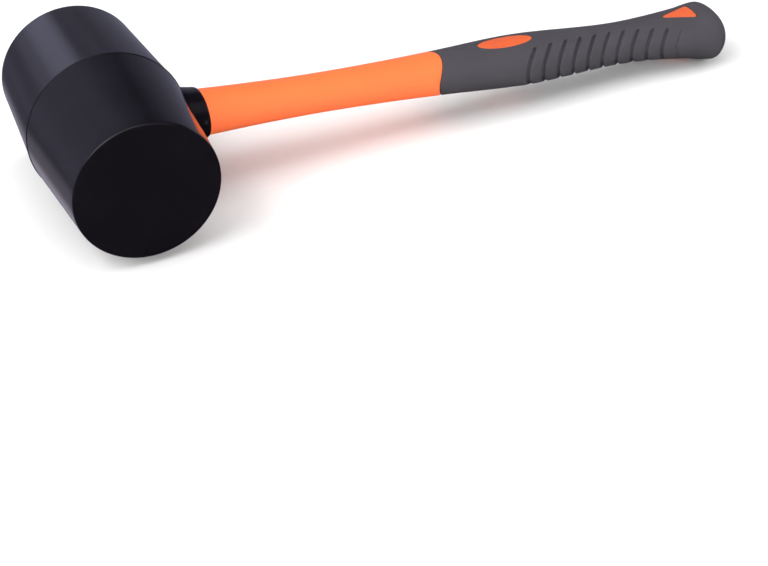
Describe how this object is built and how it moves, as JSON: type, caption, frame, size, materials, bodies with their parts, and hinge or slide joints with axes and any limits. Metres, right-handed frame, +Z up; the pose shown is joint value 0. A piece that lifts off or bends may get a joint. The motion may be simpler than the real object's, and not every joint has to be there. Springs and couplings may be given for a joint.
{
  "type": "rubber mallet",
  "caption": "Rubber mallet for blows that leave no mark: a barrel-shaped rubber head with a moulded collar on an oval cored handle with a soft grooved grip and flush inlays.",
  "frame": {"origin": "on the ground under the middle of the mallet's box, as it lies at rest on its head and butt", "axes": "+X along the handle from the head to the butt, -Y out of the front striking face, +Z up"},
  "size_m": [0.3778, 0.124, 0.0786],
  "materials": {
    "head_rubber": "black moulded rubber with a satin sheen",
    "bond": "cured adhesive, out of sight",
    "core": "pultruded fibreglass rod, out of sight",
    "jacket": "smooth semi-gloss orange plastic",
    "grip": "matte dark grey soft-touch rubber",
    "inlay": "smooth deeper orange plastic"
  },
  "bodies": {
    "root": {"rubber_head": "head_rubber", "bond_sleeve": "bond", "core_rod": "core", "handle_jacket": "jacket", "grip_sleeve": "grip", "thumb_inlay_upper": "inlay", "thumb_inlay_lower": "inlay", "butt_inlay_upper": "inlay", "butt_inlay_lower": "inlay"}
  },
  "joints": []
}
